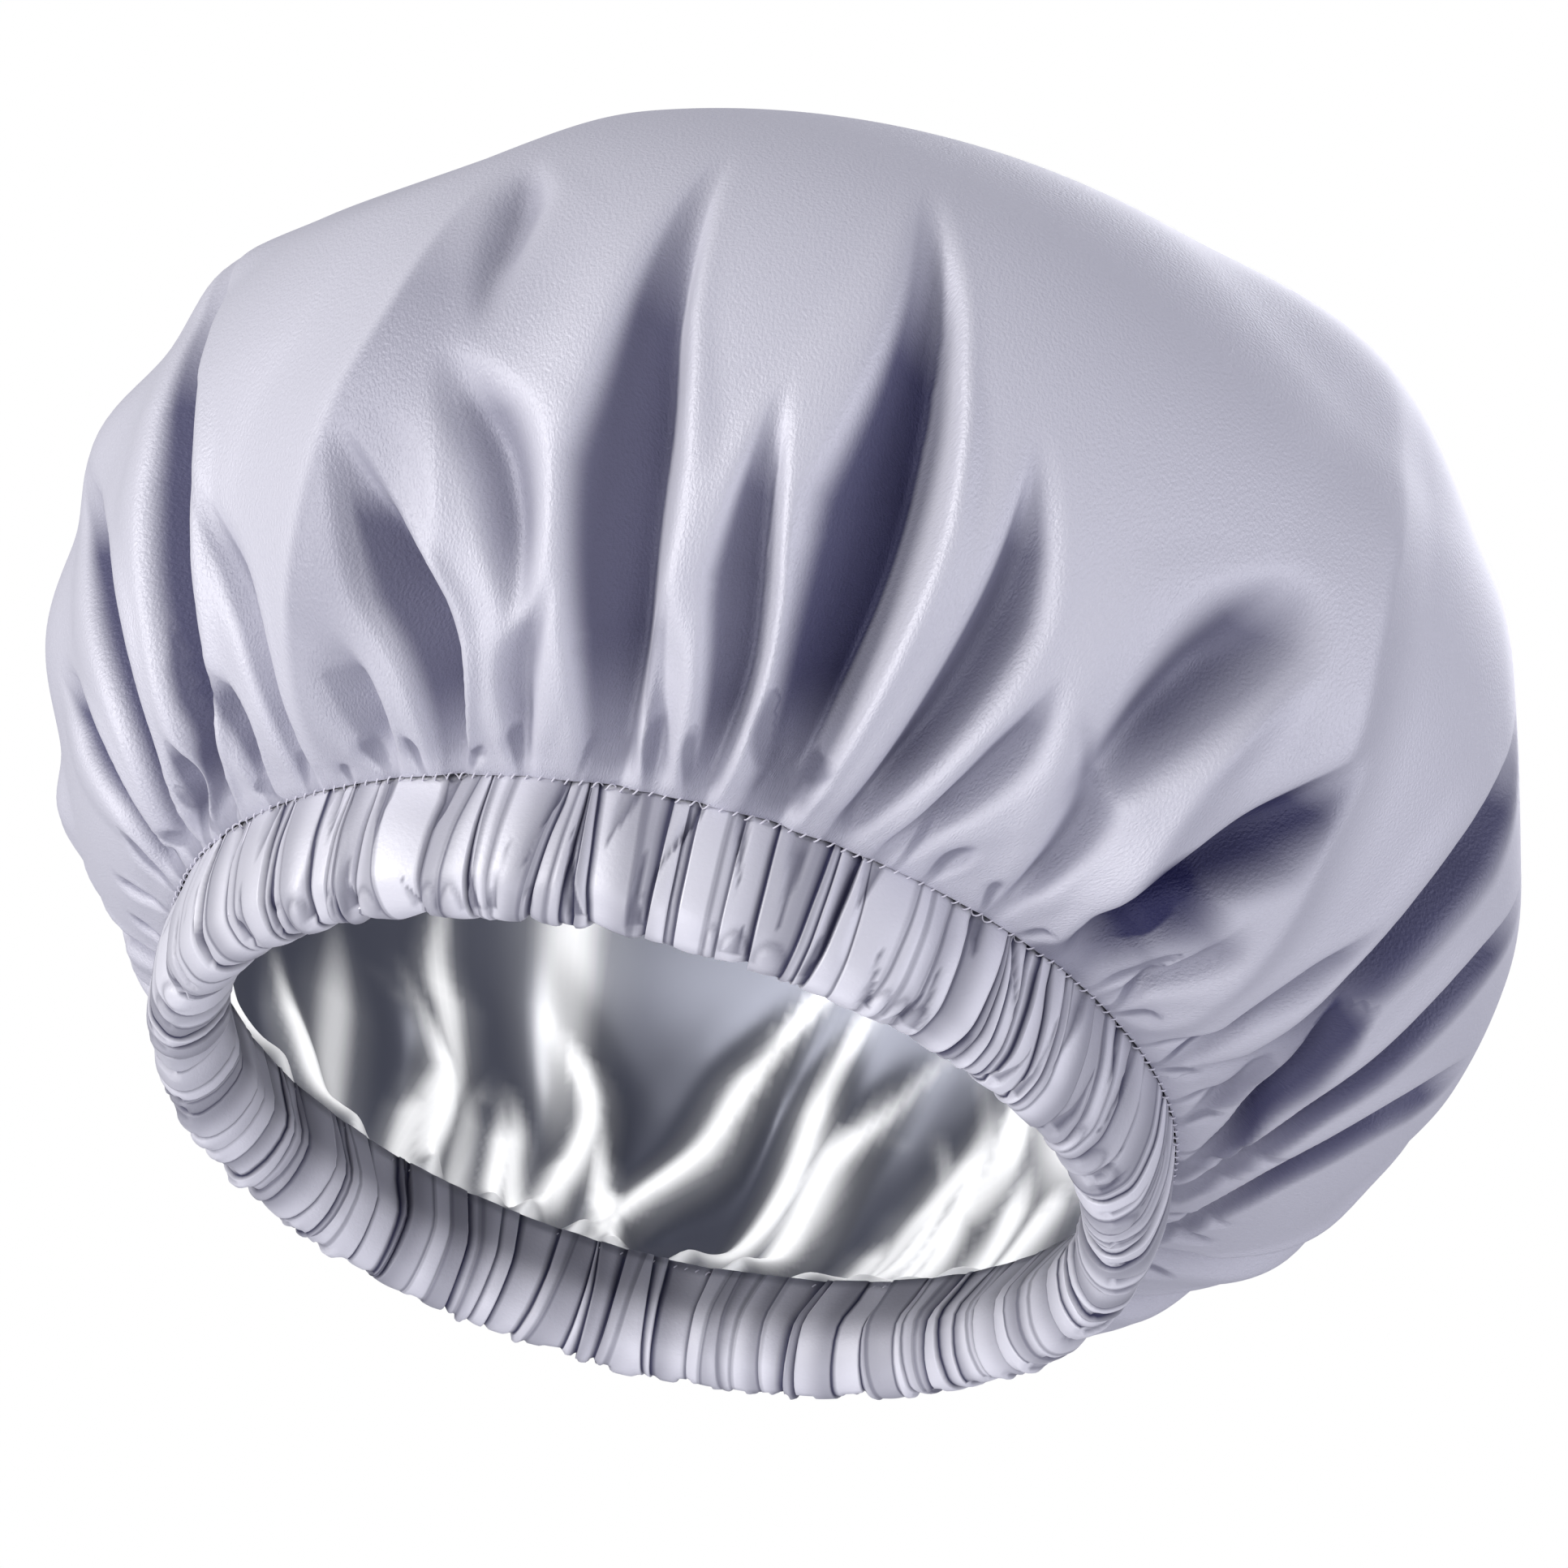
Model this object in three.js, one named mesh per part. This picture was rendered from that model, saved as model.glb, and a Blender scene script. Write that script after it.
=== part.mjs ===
// A bouffant shower cap, mouth down. A round satin shell and a waterproof lining are gathered
// onto a ruched satin casing, which is folded double around a sewn ring of flat elastic.
// Millimetres, +Z up, -Y the front. The origin is on the rim's plane, under the cap's middle.
import * as THREE from 'three';

const { clamp, smoothstep, lerp, degToRad, radToDeg } = THREE.MathUtils;
const fullCircle = 360;
const back = 180;

// Rim and casing
const rimRadius = 97;             // middle of the casing's lower fold
const casingHeight = 24.6;        // from the flat rim to the seam with the shell
const casingThickness = 16.8;     // the puffed loop at its fattest
const casingWall = 0.8;           // two plies of satin
const pleatCount = 39;
const pleatDepth = 2.4;

// Seams
const clearance = 0.3;            // between sewn pieces
const overlockHeight = 1.4;
const overlockWidth = 1.8;
const overlockScallop = 0.25;     // how far each loop of the edge stitch stands out
const overlockLoops = 60;

// Shell and lining
const bagRadius = 155;            // from the axis to the crests at the widest line
const bagWaist = 103;             // height of the widest line
const crownHeight = 214;
const mouthOffset = 7.9;          // the mouth lies this far left of the bag's middle
const bellyShift = 2;             // how far the belly hangs to the right under the widest line
const shellWall = 0.8;
const liningWall = 0.6;
const liningGap = 2.2;            // air between shell and lining
const foldDepth = 15;
const foldWidth = 11;             // half the width of a main valley at its widest
const foldCrest = 1.2;            // rise of the ridges beside it

// Elastic
const elasticWidth = 20.5;
const elasticThickness = 1.2;
const elasticLap = 17;            // length where its two ends lie over each other
const elasticLean = 3;            // how much wider its upper edge sits
const elasticSteps = 92;

// Thread
const threadDiameter = 0.5;
const threadSides = 5;
const tackLegs = 6;               // bars of the tack through the lap
const tackHeight = 9;
const tackSpacing = 1.9;
const tackSteps = 72;
const joinPleat = 65;             // the pleat that hides the seam across the casing
const joinRise = 0.65;            // from the pleat's bottom to the thread's middle
const joinSteps = 24;

// The casing's outline, from the seam with the lining round the fold to the seam with the shell:
// place across the loop as a share of half its thickness, height as a share of its height, and
// how much of the pleat shows there. The casing's inside follows the kept points, and the seam
// that joins its ends runs along the sewn ones.
const casingShares = [
  { across: -0.10, up: 0.95, press: 0.5, kept: true },
  { across: -0.62, up: 0.75, press: 0.85 },
  { across: -1.02, up: 0.47, press: 1, kept: true },
  { across: -0.76, up: 0.15, press: 0.8 },
  { across: -0.30, up: 0, press: 0, kept: true },
  { across: 0.28, up: 0, press: 0, kept: true },
  { across: 0.76, up: 0.15, press: 0.8, sewn: true },
  { across: 0.98, up: 0.49, press: 1, kept: true, sewn: true },
  { across: 0.98, up: 0.77, press: 0.8, sewn: true },
  { across: 0.90, up: 1, press: 0.5, kept: true, sewn: true },
];

// Valleys between the main folds, placed by hand and listed anticlockwise seen from above. at and
// lean are degrees from the front: where a valley leaves the seam, and how far it turns on its way
// up. top is how high it ends, from 0 at the seam to 1 at the crown.
const valleyShares = [
  { at: -176, lean: -10, top: 0.62, width: 0.9, depth: 0.7 },
  { at: -167, lean: 3, top: 0.56, width: 0.8, depth: 0.7 },
  { at: -154, lean: 2, top: 0.49, width: 0.8, depth: 0.7 },
  { at: -143, lean: 4, top: 0.42, width: 0.7, depth: 0.6 },
  { at: -129, lean: 4, top: 0.62, width: 0.9, depth: 0.8 },
  { at: -113, lean: 1, top: 0.46, width: 0.7, depth: 0.6 },
  { at: -102, lean: 3, top: 0.57, width: 0.8, depth: 0.7 },
  { at: -78, lean: -7, top: 0.36, width: 0.7, depth: 0.7 },
  { at: -69, lean: -10, top: 0.53, width: 0.8, depth: 0.8 },
  { at: -57, lean: -8, top: 0.65, width: 1.2, depth: 1.0 },
  { at: -46, lean: 8, top: 0.60, width: 1.0, depth: 0.3 },
  { at: -30, lean: -10, top: 0.42, width: 0.8, depth: 0.9 },
  { at: -15, lean: -3, top: 0.65, width: 1.1, depth: 1.0 },
  { at: -4, lean: -4, top: 0.46, width: 0.7, depth: 0.7 },
  { at: 4, lean: -5, top: 0.65, width: 1.4, depth: 1.1 },
  { at: 12, lean: 1, top: 0.48, width: 0.8, depth: 0.6 },
  { at: 20, lean: 0, top: 0.28, width: 0.8, depth: 0.4 },
  { at: 28, lean: 5, top: 0.45, width: 0.9, depth: 0.5 },
  { at: 42, lean: 3, top: 0.36, width: 0.8, depth: 0.8 },
  { at: 55, lean: 1, top: 0.33, width: 0.5, depth: 0.4 },
  { at: 62, lean: 3, top: 0.58, width: 0.8, depth: 0.8 },
  { at: 75, lean: 3, top: 0.48, width: 0.7, depth: 0.7 },
  { at: 87, lean: 4, top: 0.33, width: 0.7, depth: 0.6 },
  { at: 108, lean: -3, top: 0.58, width: 0.9, depth: 0.8 },
  { at: 121, lean: -1, top: 0.44, width: 0.7, depth: 0.6 },
  { at: 138, lean: -4, top: 0.61, width: 0.9, depth: 0.8 },
  { at: 152, lean: 2, top: 0.52, width: 0.7, depth: 0.6 },
  { at: 168, lean: -7, top: 0.58, width: 0.8, depth: 0.7 },
];
const footShare = 0.4;            // a valley's width where it leaves the seam
const crowdShare = 0.42;          // the most of the way to its neighbour that it takes
const skewShare = 0.25;           // how far its bottom lies off its middle
const bellyShare = 0.6;           // below 1, a valley is deepest low down
const shoulderShare = 0.88;       // below 1, the crown has fuller shoulders than an ellipse
const foldRowShares = [0, 0.06, 0.14, 0.24, 0.35, 0.46, 0.57, 0.68];
const crownRowShares = [0.78, 0.87, 0.94];
const tuckShare = 0.22;           // up to here the lining runs in towards its own seam

const satin = { color: 0xc4c3d0, roughness: 0.38, metalness: 0.1 };
const silverFilm = { color: 0xb4b6be, roughness: 0.22, metalness: 0.9 };
const knitElastic = { color: 0xe8e8ec, roughness: 0.8, metalness: 0 };
const thread = { color: 0xb9b8c8, roughness: 0.6, metalness: 0 };

const shellSeamHeight = casingHeight + overlockHeight + 2 * clearance;
const shellSeamRadius = rimRadius + casingShares.at(-1).across * casingThickness / 2;
const liningSeamHeight = casingHeight * casingShares[0].up + overlockHeight + 2 * clearance;
const liningSeamRadius = rimRadius + casingShares[0].across * casingThickness / 2;

// Places are measured from the middle of the mouth, which lies left of the origin.
function place(azimuth, radius, height, shift = 0) {
  const angle = degToRad(azimuth);
  return new THREE.Vector3(
    shift - mouthOffset + radius * Math.sin(angle),
    -radius * Math.cos(angle),
    height,
  );
}

function solidFrom(points, faces) {
  const geometry = new THREE.BufferGeometry().setFromPoints(points);
  geometry.setIndex(faces);
  return geometry;
}

// The two faces of a four-sided patch, given anticlockwise seen from outside.
const patch = (a, b, c, d) => [a, b, c, a, c, d];

// A tube through outlines of equal size, each anticlockwise with the radius to the right.
function tubeThrough(outlines, closed) {
  const size = outlines[0].length;
  const spans = closed ? outlines.length : outlines.length - 1;
  const faces = [];
  for (let j = 0; j < spans; j++) {
    const here = j * size;
    const next = ((j + 1) % outlines.length) * size;
    for (let i = 0; i < size; i++) {
      const up = (i + 1) % size;
      faces.push(...patch(here + i, next + i, next + up, here + up));
    }
  }
  const last = spans * size;
  for (let i = 1; i + 1 < size && !closed; i++) {
    faces.push(0, i, i + 1, last, last + i + 1, last + i);
  }
  return solidFrom(outlines.flat(), faces);
}

function threadAlong(points, steps) {
  const section = new THREE.Shape();
  for (let i = 0; i < threadSides; i++) {
    const angle = 2 * Math.PI * i / threadSides;
    const at = [Math.cos(angle), Math.sin(angle)].map((n) => n * threadDiameter / 2);
    i ? section.lineTo(...at) : section.moveTo(...at);
  }
  const path = new THREE.CatmullRomCurve3(points, false, 'centripetal');
  return new THREE.ExtrudeGeometry(section, { steps, extrudePath: path });
}

// The ruched casing. Every second outline is pressed in, so crests and creases alternate.
const casingOutline = casingShares.map(({ across, up }) => (
  new THREE.Vector2(rimRadius + across * casingThickness / 2, up * casingHeight)
));

const outlineSpots = casingShares.map((_, i) => i);
const insideSpots = outlineSpots.filter((i) => casingShares[i].kept).reverse();
const sewnSpots = outlineSpots.filter((i) => casingShares[i].sewn);

function inwardAt(i) {
  if (i === 0 || i === casingOutline.length - 1) {
    return new THREE.Vector2(-Math.sign(casingShares[i].across), 0);
  }
  const along = casingOutline[i + 1].clone().sub(casingOutline[i - 1]).normalize();
  return new THREE.Vector2(-along.y, along.x);
}

// A point of the outline, moved into the loop by the pleat and by a further depth.
function casingPoint(i, pleat, depth) {
  const move = pleatDepth * casingShares[i].press * pleat + depth;
  return inwardAt(i).multiplyScalar(move).add(casingOutline[i]);
}

const pleatAzimuth = (j) => (j + 0.28 * Math.sin(2.4 * j)) * back / pleatCount;
const pleatSize = (j) => (j % 2) * (0.78 + 0.22 * Math.sin(1.7 * j));

function casing() {
  const outlines = [];
  for (let j = 0; j < 2 * pleatCount; j++) {
    const outside = outlineSpots.map((i) => casingPoint(i, pleatSize(j), 0));
    const inside = insideSpots.map((i) => casingPoint(i, pleatSize(j), casingWall));
    outlines.push([...outside, ...inside].map((p) => place(pleatAzimuth(j), p.x, p.y)));
  }
  return tubeThrough(outlines, true);
}

function casingJoin() {
  const points = sewnSpots.map((i) => {
    const p = casingPoint(i, pleatSize(joinPleat), -joinRise);
    return place(pleatAzimuth(joinPleat), p.x, p.y);
  });
  return threadAlong(points, joinSteps);
}

// The elastic is one strip wound a little more than once, so its ends lap at the back.
const elasticBottom = casingWall + clearance;
const layerStep = elasticThickness + clearance;
const lapAngle = radToDeg(elasticLap / rimRadius);

function elasticPoint(turnShare, across, up) {
  const azimuth = back - lapAngle / 2 + turnShare * (fullCircle + lapAngle);
  const layer = layerStep * (turnShare * (1 + lapAngle / fullCircle) - 0.5);
  return place(azimuth, rimRadius + layer + across + elasticLean * up, elasticBottom + elasticWidth * up);
}

function elastic() {
  const half = elasticThickness / 2;
  const outlines = [];
  for (let j = 0; j <= elasticSteps; j++) {
    const turnShare = j / elasticSteps;
    const corners = [[-half, 0], [half, 0], [half, 1], [-half, 1]];
    outlines.push(corners.map(([across, up]) => elasticPoint(turnShare, across, up)));
  }
  return tubeThrough(outlines, false);
}

// The tack runs up and down across the lap in rounded turns, on the outer layer.
function elasticTack() {
  const proud = elasticThickness / 2 + clearance + threadDiameter / 2;
  const stepShare = tackSpacing / (2 * Math.PI * rimRadius);
  const lapEnd = 1 - lapAngle / (fullCircle + lapAngle) / 2;
  const riseShare = tackHeight / elasticWidth / 2;
  const points = [];
  for (let leg = 0; leg < tackLegs; leg++) {
    const side = leg % 2 ? -1 : 1;
    const start = lapEnd + (leg - tackLegs / 2) * stepShare;
    for (const along of [-1, -0.5, 0, 0.5, 1]) {
      points.push(elasticPoint(start, proud, 0.5 + side * along * riseShare));
    }
    if (leg + 1 < tackLegs) {
      const bulge = riseShare + tackSpacing / elasticWidth / 2;
      points.push(elasticPoint(start + stepShare / 2, proud, 0.5 + side * bulge));
    }
  }
  return threadAlong(points, tackSteps);
}

// The edge stitch over a seam: a six-sided bead whose width swells at every loop.
function overlock(radius, bottom) {
  const outlines = [];
  for (let j = 0; j < 2 * overlockLoops; j++) {
    const azimuth = j * back / overlockLoops;
    const half = overlockWidth / 2 + (j % 2 ? overlockScallop : 0);
    const waist = bottom + overlockHeight / 2;
    const top = bottom + overlockHeight;
    const outline = [[-0.5, bottom], [0.5, bottom], [1, waist], [0.5, top], [-0.5, top], [-1, waist]];
    outlines.push(outline.map(([across, height]) => place(azimuth, radius + across * half, height)));
  }
  return tubeThrough(outlines, true);
}

// A point of the bag: its height runs as a share from the seam to the crown, and out is how far
// it stands off the smooth bag. Below the widest line the bag curves in to the seam.
function bagPoint(azimuth, heightShare, out) {
  const bend = Math.PI * (heightShare - 0.5);
  const below = bend < 0;
  const reach = below ? bagRadius - shellSeamRadius : bagRadius;
  const rise = below ? bagWaist - shellSeamHeight : crownHeight - bagWaist;
  const fullness = below ? 1 : shoulderShare;
  const normal = new THREE.Vector2(Math.cos(bend) / reach, Math.sin(bend) / rise).normalize();
  const radius = bagRadius - reach + reach * Math.max(Math.cos(bend), 0) ** fullness + normal.x * out;
  const height = bagWaist + rise * Math.sin(bend) + normal.y * out;
  const hang = bellyShift * Math.sin(-2 * bend);
  return { azimuth, radius, height, shift: below ? mouthOffset * Math.cos(bend) + hang : mouthOffset };
}

const widthAt = (heightShare) => bagPoint(0, heightShare, 0).radius;

// The three columns of each valley at one height: its two crests and its bottom. Above a valley's
// end they spread evenly, so the crown is smooth.
function foldColumns(heightShare) {
  const climbs = valleyShares.map((valley) => heightShare / valley.top);
  const centres = valleyShares.map((valley, k) => valley.at + valley.lean * Math.min(climbs[k], 1));
  const last = centres.length - 1;
  return valleyShares.flatMap((valley, k) => {
    const before = centres[k] - (k ? centres[k - 1] : centres[last] - fullCircle);
    const after = (k < last ? centres[k + 1] : centres[0] + fullCircle) - centres[k];
    const climb = climbs[k];
    const strength = climb < 1 ? Math.sin(Math.PI * climb ** bellyShare) * valley.depth : 0;
    const open = lerp(footShare, 1, smoothstep(climb, 0, 0.45)) * lerp(1, 0.5, smoothstep(climb, 0.6, 1));
    const wanted = radToDeg(foldWidth * valley.width * open / widthAt(heightShare));
    const faded = smoothstep(climb, 0.85, 1.15);
    const toLeft = lerp(Math.min(wanted, before * crowdShare), before / 3, faded);
    const toRight = lerp(Math.min(wanted, after * crowdShare), after / 3, faded);
    return [
      { azimuth: centres[k] - toLeft, out: foldCrest * strength },
      { azimuth: centres[k] + skewShare * toRight * (1 - faded), out: -foldDepth * strength },
      { azimuth: centres[k] + toRight, out: foldCrest * strength },
    ];
  });
}

const foldRows = foldRowShares.map((heightShare) => (
  foldColumns(heightShare).map((column) => ({ ...column, heightShare }))
));
const crownRows = crownRowShares.map((heightShare) => (
  foldColumns(heightShare).filter((_, j) => j % 2 === 0).map((column) => ({ ...column, heightShare }))
));
const crown = { azimuth: 0, out: 0, heightShare: 1 };

// One face of a sheet: rows of columns, half as many at the crown, and a point at the top.
function skinFaces(first) {
  const wide = foldRows[0].length;
  const narrow = crownRows[0].length;
  const faces = [];
  for (let row = 0; row + 1 < foldRows.length; row++) {
    const low = first + row * wide;
    for (let j = 0; j < wide; j++) {
      const next = (j + 1) % wide;
      faces.push(...patch(low + j, low + next, low + wide + next, low + wide + j));
    }
  }
  const rim = first + (foldRows.length - 1) * wide;
  const upper = rim + wide;
  for (let k = 0; k < narrow; k++) {
    const next = (k + 1) % narrow;
    const odd = rim + 2 * k + 1;
    const even = rim + (2 * k + 2) % wide;
    faces.push(rim + 2 * k, odd, upper + k, odd, upper + next, upper + k, odd, even, upper + next);
  }
  for (let row = 0; row + 1 < crownRows.length; row++) {
    const low = upper + row * narrow;
    for (let k = 0; k < narrow; k++) {
      const next = (k + 1) % narrow;
      faces.push(...patch(low + k, low + next, low + narrow + next, low + narrow + k));
    }
  }
  const top = upper + (crownRows.length - 1) * narrow;
  for (let k = 0; k < narrow; k++) {
    faces.push(top + k, top + (k + 1) % narrow, top + narrow);
  }
  return faces;
}

// A gathered sheet with two faces, joined round its sewn edge. pointAt places a spot of the rows
// at a depth below the shell's outside.
function gatheredSheet(pointAt, depth, wall) {
  const spots = [...foldRows.flat(), ...crownRows.flat(), crown];
  const outside = spots.map((spot) => pointAt(spot, depth));
  const inside = spots.map((spot) => pointAt(spot, depth + wall));
  const inner = spots.length;
  const wide = foldRows[0].length;
  const faces = skinFaces(0);
  const turned = skinFaces(inner);
  for (let i = 0; i < turned.length; i += 3) {
    faces.push(turned[i], turned[i + 2], turned[i + 1]);
  }
  for (let j = 0; j < wide; j++) {
    const next = (j + 1) % wide;
    faces.push(...patch(inner + j, inner + next, next, j));
  }
  return solidFrom([...outside, ...inside], faces);
}

function shellPoint({ azimuth, out, heightShare }, depth) {
  const p = bagPoint(azimuth, heightShare, out - depth);
  return place(p.azimuth, p.radius, p.height, p.shift);
}

// The lining follows the shell's folds inside it, and low down it runs in to its own seam.
const liningDepth = shellWall + liningGap;
const tuckIn = shellSeamRadius - liningSeamRadius;
const tuckDown = shellSeamHeight + liningDepth - liningSeamHeight;

function liningPoint({ azimuth, out, heightShare }, depth) {
  const p = bagPoint(azimuth, heightShare, out - depth);
  const inwards = tuckIn * (1 - smoothstep(heightShare, 0, tuckShare));
  const down = tuckDown * (1 - clamp(heightShare / foldRowShares[1], 0, 1));
  return place(p.azimuth, p.radius - inwards, p.height - down, p.shift);
}

const cap = new THREE.Group();

function addPiece(name, geometry, finish) {
  const piece = new THREE.Mesh(geometry, new THREE.MeshStandardMaterial(finish));
  piece.name = name;
  cap.add(piece);
}

addPiece('outer_shell', gatheredSheet(shellPoint, 0, shellWall), satin);
addPiece('inner_lining', gatheredSheet(liningPoint, liningDepth, liningWall), silverFilm);
addPiece('band_casing', casing(), satin);
addPiece('elastic_band', elastic(), knitElastic);
addPiece('elastic_lap_stitching', elasticTack(), thread);
addPiece('casing_join_stitching', casingJoin(), thread);
addPiece('shell_seam_overlock', overlock(shellSeamRadius, casingHeight + clearance), thread);
addPiece(
  'lining_seam_overlock',
  overlock(liningSeamRadius, liningSeamHeight - clearance - overlockHeight),
  thread,
);

export default cap;
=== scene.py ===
from collections import namedtuple
from math import cos, pi, radians, sin, tau

import bpy
import numpy as np
from mathutils import Matrix, Vector


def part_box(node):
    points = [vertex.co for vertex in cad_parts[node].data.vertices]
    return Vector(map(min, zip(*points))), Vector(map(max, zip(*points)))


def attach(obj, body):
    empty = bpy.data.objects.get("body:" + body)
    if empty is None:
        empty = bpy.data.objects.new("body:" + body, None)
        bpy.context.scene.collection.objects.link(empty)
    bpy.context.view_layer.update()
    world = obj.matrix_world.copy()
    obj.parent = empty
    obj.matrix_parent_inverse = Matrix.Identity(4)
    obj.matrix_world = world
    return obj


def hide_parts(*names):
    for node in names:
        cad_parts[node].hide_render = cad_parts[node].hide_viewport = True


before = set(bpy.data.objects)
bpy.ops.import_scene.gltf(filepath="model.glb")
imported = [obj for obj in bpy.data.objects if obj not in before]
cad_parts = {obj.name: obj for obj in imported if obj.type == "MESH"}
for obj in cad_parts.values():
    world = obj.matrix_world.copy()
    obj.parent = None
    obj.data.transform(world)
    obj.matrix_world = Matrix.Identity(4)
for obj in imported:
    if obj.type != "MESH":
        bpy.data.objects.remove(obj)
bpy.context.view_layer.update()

MM = 0.001
bpy.ops.object.select_all(action="DESELECT")

# Sizes of the bag and its seams
shell_low, shell_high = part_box("outer_shell")
band_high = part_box("band_casing")[1]

RIM_RADIUS = 97 * MM               # to the middle of the casing's thickness
CASING_HEIGHT = band_high[2]
CASING_THICKNESS = 16.8 * MM
SEAM_HEIGHT = shell_low[2]
SEAM_RADIUS = 104.56 * MM
CROWN_HEIGHT = shell_high[2]
BAG_RADIUS = 155 * MM
BAG_WAIST = 103 * MM               # height of the bag's widest line
MOUTH_OFFSET = 7.9 * MM            # the mouth lies this far left of the bag's middle
MOUTH = Vector((-MOUTH_OFFSET, 0, 0))
SHOULDER_SHARE = 0.88              # below 1, the crown has fuller shoulders than an ellipse
BELLY_SHIFT = 2 * MM               # how far the belly hangs to the right under the widest line
CLOTH = 0.4 * MM
THREAD = 0.35 * MM
LINING_GAP = 3.4 * MM              # between the shell and the lining under it
LINING_SLACK = 2.4 * MM            # how much wider each slope of its folds is than the shell's
LINING_SEAM_RADIUS = 96.16 * MM
LINING_SEAM_HEIGHT = 25.37 * MM
SEAM_LAP = 1.1 * MM                # how far the cloth runs down into its seam
SEAM_SHARE = 0.05                  # the share of the rise over which the seam holds the cloth
TUCK_SHARE = 0.22                  # the same for the lining's way in to its own, narrower seam
DROP_SHARE = 0.07                  # and for the lining's way down to that seam
ROUNDING = 1.2 * MM                # the smallest bend the cloth takes at a crease
CRISP = 8 * MM                     # over which a sharp edge of a fold's painted shade is recorded
FINEST = 6 * MM                    # the same for a soft edge, at the least
EDGE_LOW, EDGE_HIGH = 0.42, 0.58   # where the painted shade begins and is full, in that record
GLEAM_LEAST = 3.4 * MM             # the narrowest painted highlight on the film

# A painted highlight's bright core stays full over a small share of its reach. A dim painted
# glow round it goes further out.
CORE_FULL, CORE_SHARE = 0.08, 0.85
GLOW_FULL, GLOW_REACH, GLOW_SHARE = 0.3, 2.0, 0.15

# How fine the meshes are, and what the random draws start from
SHELL_CELLS = 150                  # from the middle of its grid to the edge
LINING_CELLS = 109                 # fewer, because its wall doubles them
CASING_ROWS = 33
SEAM_CROWD = 1.35                  # above 1, the cells crowd towards the seam
GATHER_SEED, FACET_SEED, DART_SEED = 7, 11, 5
SEAM_GATHERS = 64
CASING_DARTS = 96


def smoothstep(x, low, high):
    """0 up to low, 1 from high on, and smooth between."""
    t = np.clip((x - low) / (high - low), 0, 1)
    return t * t * (3 - 2 * t)


def bump(x):
    """A round hump: 1 at 0, and 0 from 1 on to either side."""
    return np.where(np.abs(x) < 1, 0.5 + 0.5 * np.cos(pi * np.clip(x, -1, 1)), 0)


# Mesh helpers

def points_of(piece):
    flat = np.empty(3 * len(piece.data.vertices))
    piece.data.vertices.foreach_get("co", flat)
    return flat.reshape(-1, 3)


def put_points(piece, points):
    piece.data.vertices.foreach_set("co", np.asarray(points, float).ravel())
    piece.data.update()


def put_uv(piece, places):
    corners = np.empty(len(piece.data.loops), int)
    piece.data.loops.foreach_get("vertex_index", corners)
    piece.data.uv_layers[0].data.foreach_set("uv", places[corners].ravel())


def note_painted_light(piece, name, values):
    """Keeps a value from 0 to 1 at each point, which the material reads to paint shade into the colour,
    and highlights on the film.
    """
    kept = piece.data.attributes.new(name, "FLOAT", "POINT")
    kept.data.foreach_set("value", np.clip(values, 0, 1))


def relax(piece, times):
    """Softens the creases where the cloth is too stiff to follow them."""
    soften = piece.modifiers.new("soften", "SMOOTH")
    soften.factor = 0.5
    soften.iterations = times
    bpy.ops.object.modifier_apply(modifier=soften.name)


def grid(name, across, along):
    bpy.ops.mesh.primitive_grid_add(x_subdivisions=across, y_subdivisions=along, size=2)
    piece = bpy.context.object
    piece.name = name
    piece.data.name = name
    return piece


def split_short(piece):
    """Cuts each cell along its shorter diagonal, so that folds crossing slanted cells stay even."""
    cut = piece.modifiers.new("cut", "TRIANGULATE")
    cut.quad_method = "SHORTEST_DIAGONAL"
    bpy.ops.object.modifier_apply(modifier=cut.name)


def give_wall(piece, thickness):
    """Thickens the cloth inwards, away from where its faces point."""
    wall = piece.modifiers.new("wall", "SOLIDIFY")
    wall.thickness = thickness
    wall.offset = -1
    bpy.ops.object.modifier_apply(modifier=wall.name)


def smooth(piece):
    piece.data.polygons.foreach_set("use_smooth", [True] * len(piece.data.polygons))


def face_out(piece, middle):
    """Turns the faces over if they look in towards the middle."""
    normals = np.empty(3 * len(piece.data.polygons))
    centres = np.empty(3 * len(piece.data.polygons))
    piece.data.polygons.foreach_get("normal", normals)
    piece.data.polygons.foreach_get("center", centres)
    out = centres.reshape(-1, 3) - np.array(middle)
    if (out * normals.reshape(-1, 3)).sum() < 0:
        piece.data.flip_normals()


# The bag

def bag(azimuth, rise):
    """The smooth bag: its points, its directions out and its radius."""
    bend = pi * (rise - 0.5)
    below = bend < 0
    reach = np.where(below, BAG_RADIUS - SEAM_RADIUS, BAG_RADIUS)
    tall = np.where(below, BAG_WAIST - SEAM_HEIGHT, CROWN_HEIGHT - BAG_WAIST)
    fullness = np.where(below, 1, SHOULDER_SHARE)
    radius = BAG_RADIUS - reach + reach * np.cos(bend) ** fullness
    height = BAG_WAIST + tall * np.sin(bend)
    shift = MOUTH_OFFSET * (np.where(below, np.cos(bend), 1) - 1)
    shift += BELLY_SHIFT * np.where(below, np.sin(-2 * bend), 0)
    flat, up = np.cos(bend) / reach, np.sin(bend) / tall
    size = np.hypot(flat, up)
    flat, up = flat / size, up / size
    side, front = np.sin(azimuth), -np.cos(azimuth)
    points = np.stack([shift + radius * side, radius * front, height], -1)
    out = np.stack([flat * side, flat * front, up], -1)
    return points, out, radius


# How far the cloth runs for one unit of rise, below the waist and above it
WAY_BELOW = 204 * MM
WAY_ABOVE = 420 * MM


def way_up(rise):
    """How far along the cloth a rise lies from the seam."""
    return WAY_BELOW * np.minimum(rise, 0.5) + WAY_ABOVE * np.maximum(rise - 0.5, 0)


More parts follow.
